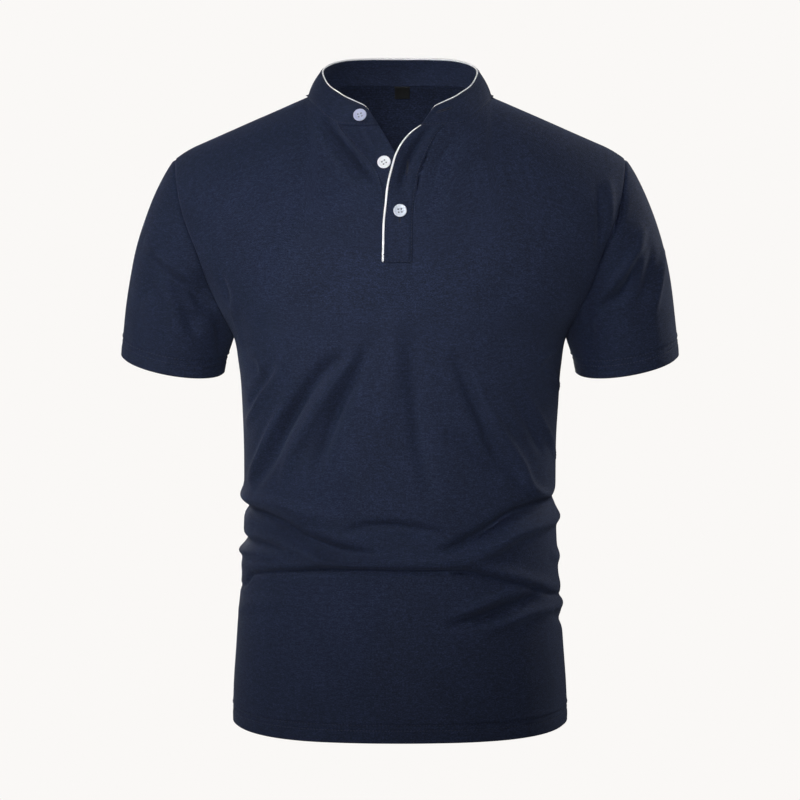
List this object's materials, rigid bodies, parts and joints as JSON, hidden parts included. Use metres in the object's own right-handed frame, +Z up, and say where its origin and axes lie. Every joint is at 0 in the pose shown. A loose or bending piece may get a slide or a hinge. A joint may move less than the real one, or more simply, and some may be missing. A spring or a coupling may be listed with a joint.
{
  "type": "polo shirt with a band collar, worn shape",
  "caption": "Short-sleeved knit polo shirt in its hollow worn shape, with a stand-up band collar and a half-open buttoned placket.",
  "frame": {"origin": "midway between the two neck points, where the shoulder seams meet the collar band", "axes": "+Z up, -Y to the wearer's front, +X to the wearer's left"},
  "size_m": [0.5416, 0.2262, 0.6517],
  "materials": {
    "navy_knit": "matt",
    "pale_tape": "matt",
    "black_label": "satin",
    "pale_resin": "semi-gloss"
  },
  "bodies": {
    "root": {"front": "navy_knit", "back": "navy_knit", "sleeve_left": "navy_knit", "sleeve_right": "navy_knit", "collar_band": "navy_knit", "placket_over": "navy_knit", "placket_under": "navy_knit", "collar_piping": "pale_tape", "placket_piping": "pale_tape", "neck_label": "black_label", "button_collar": "pale_resin", "button_middle": "pale_resin", "button_lower": "pale_resin"}
  },
  "joints": []
}
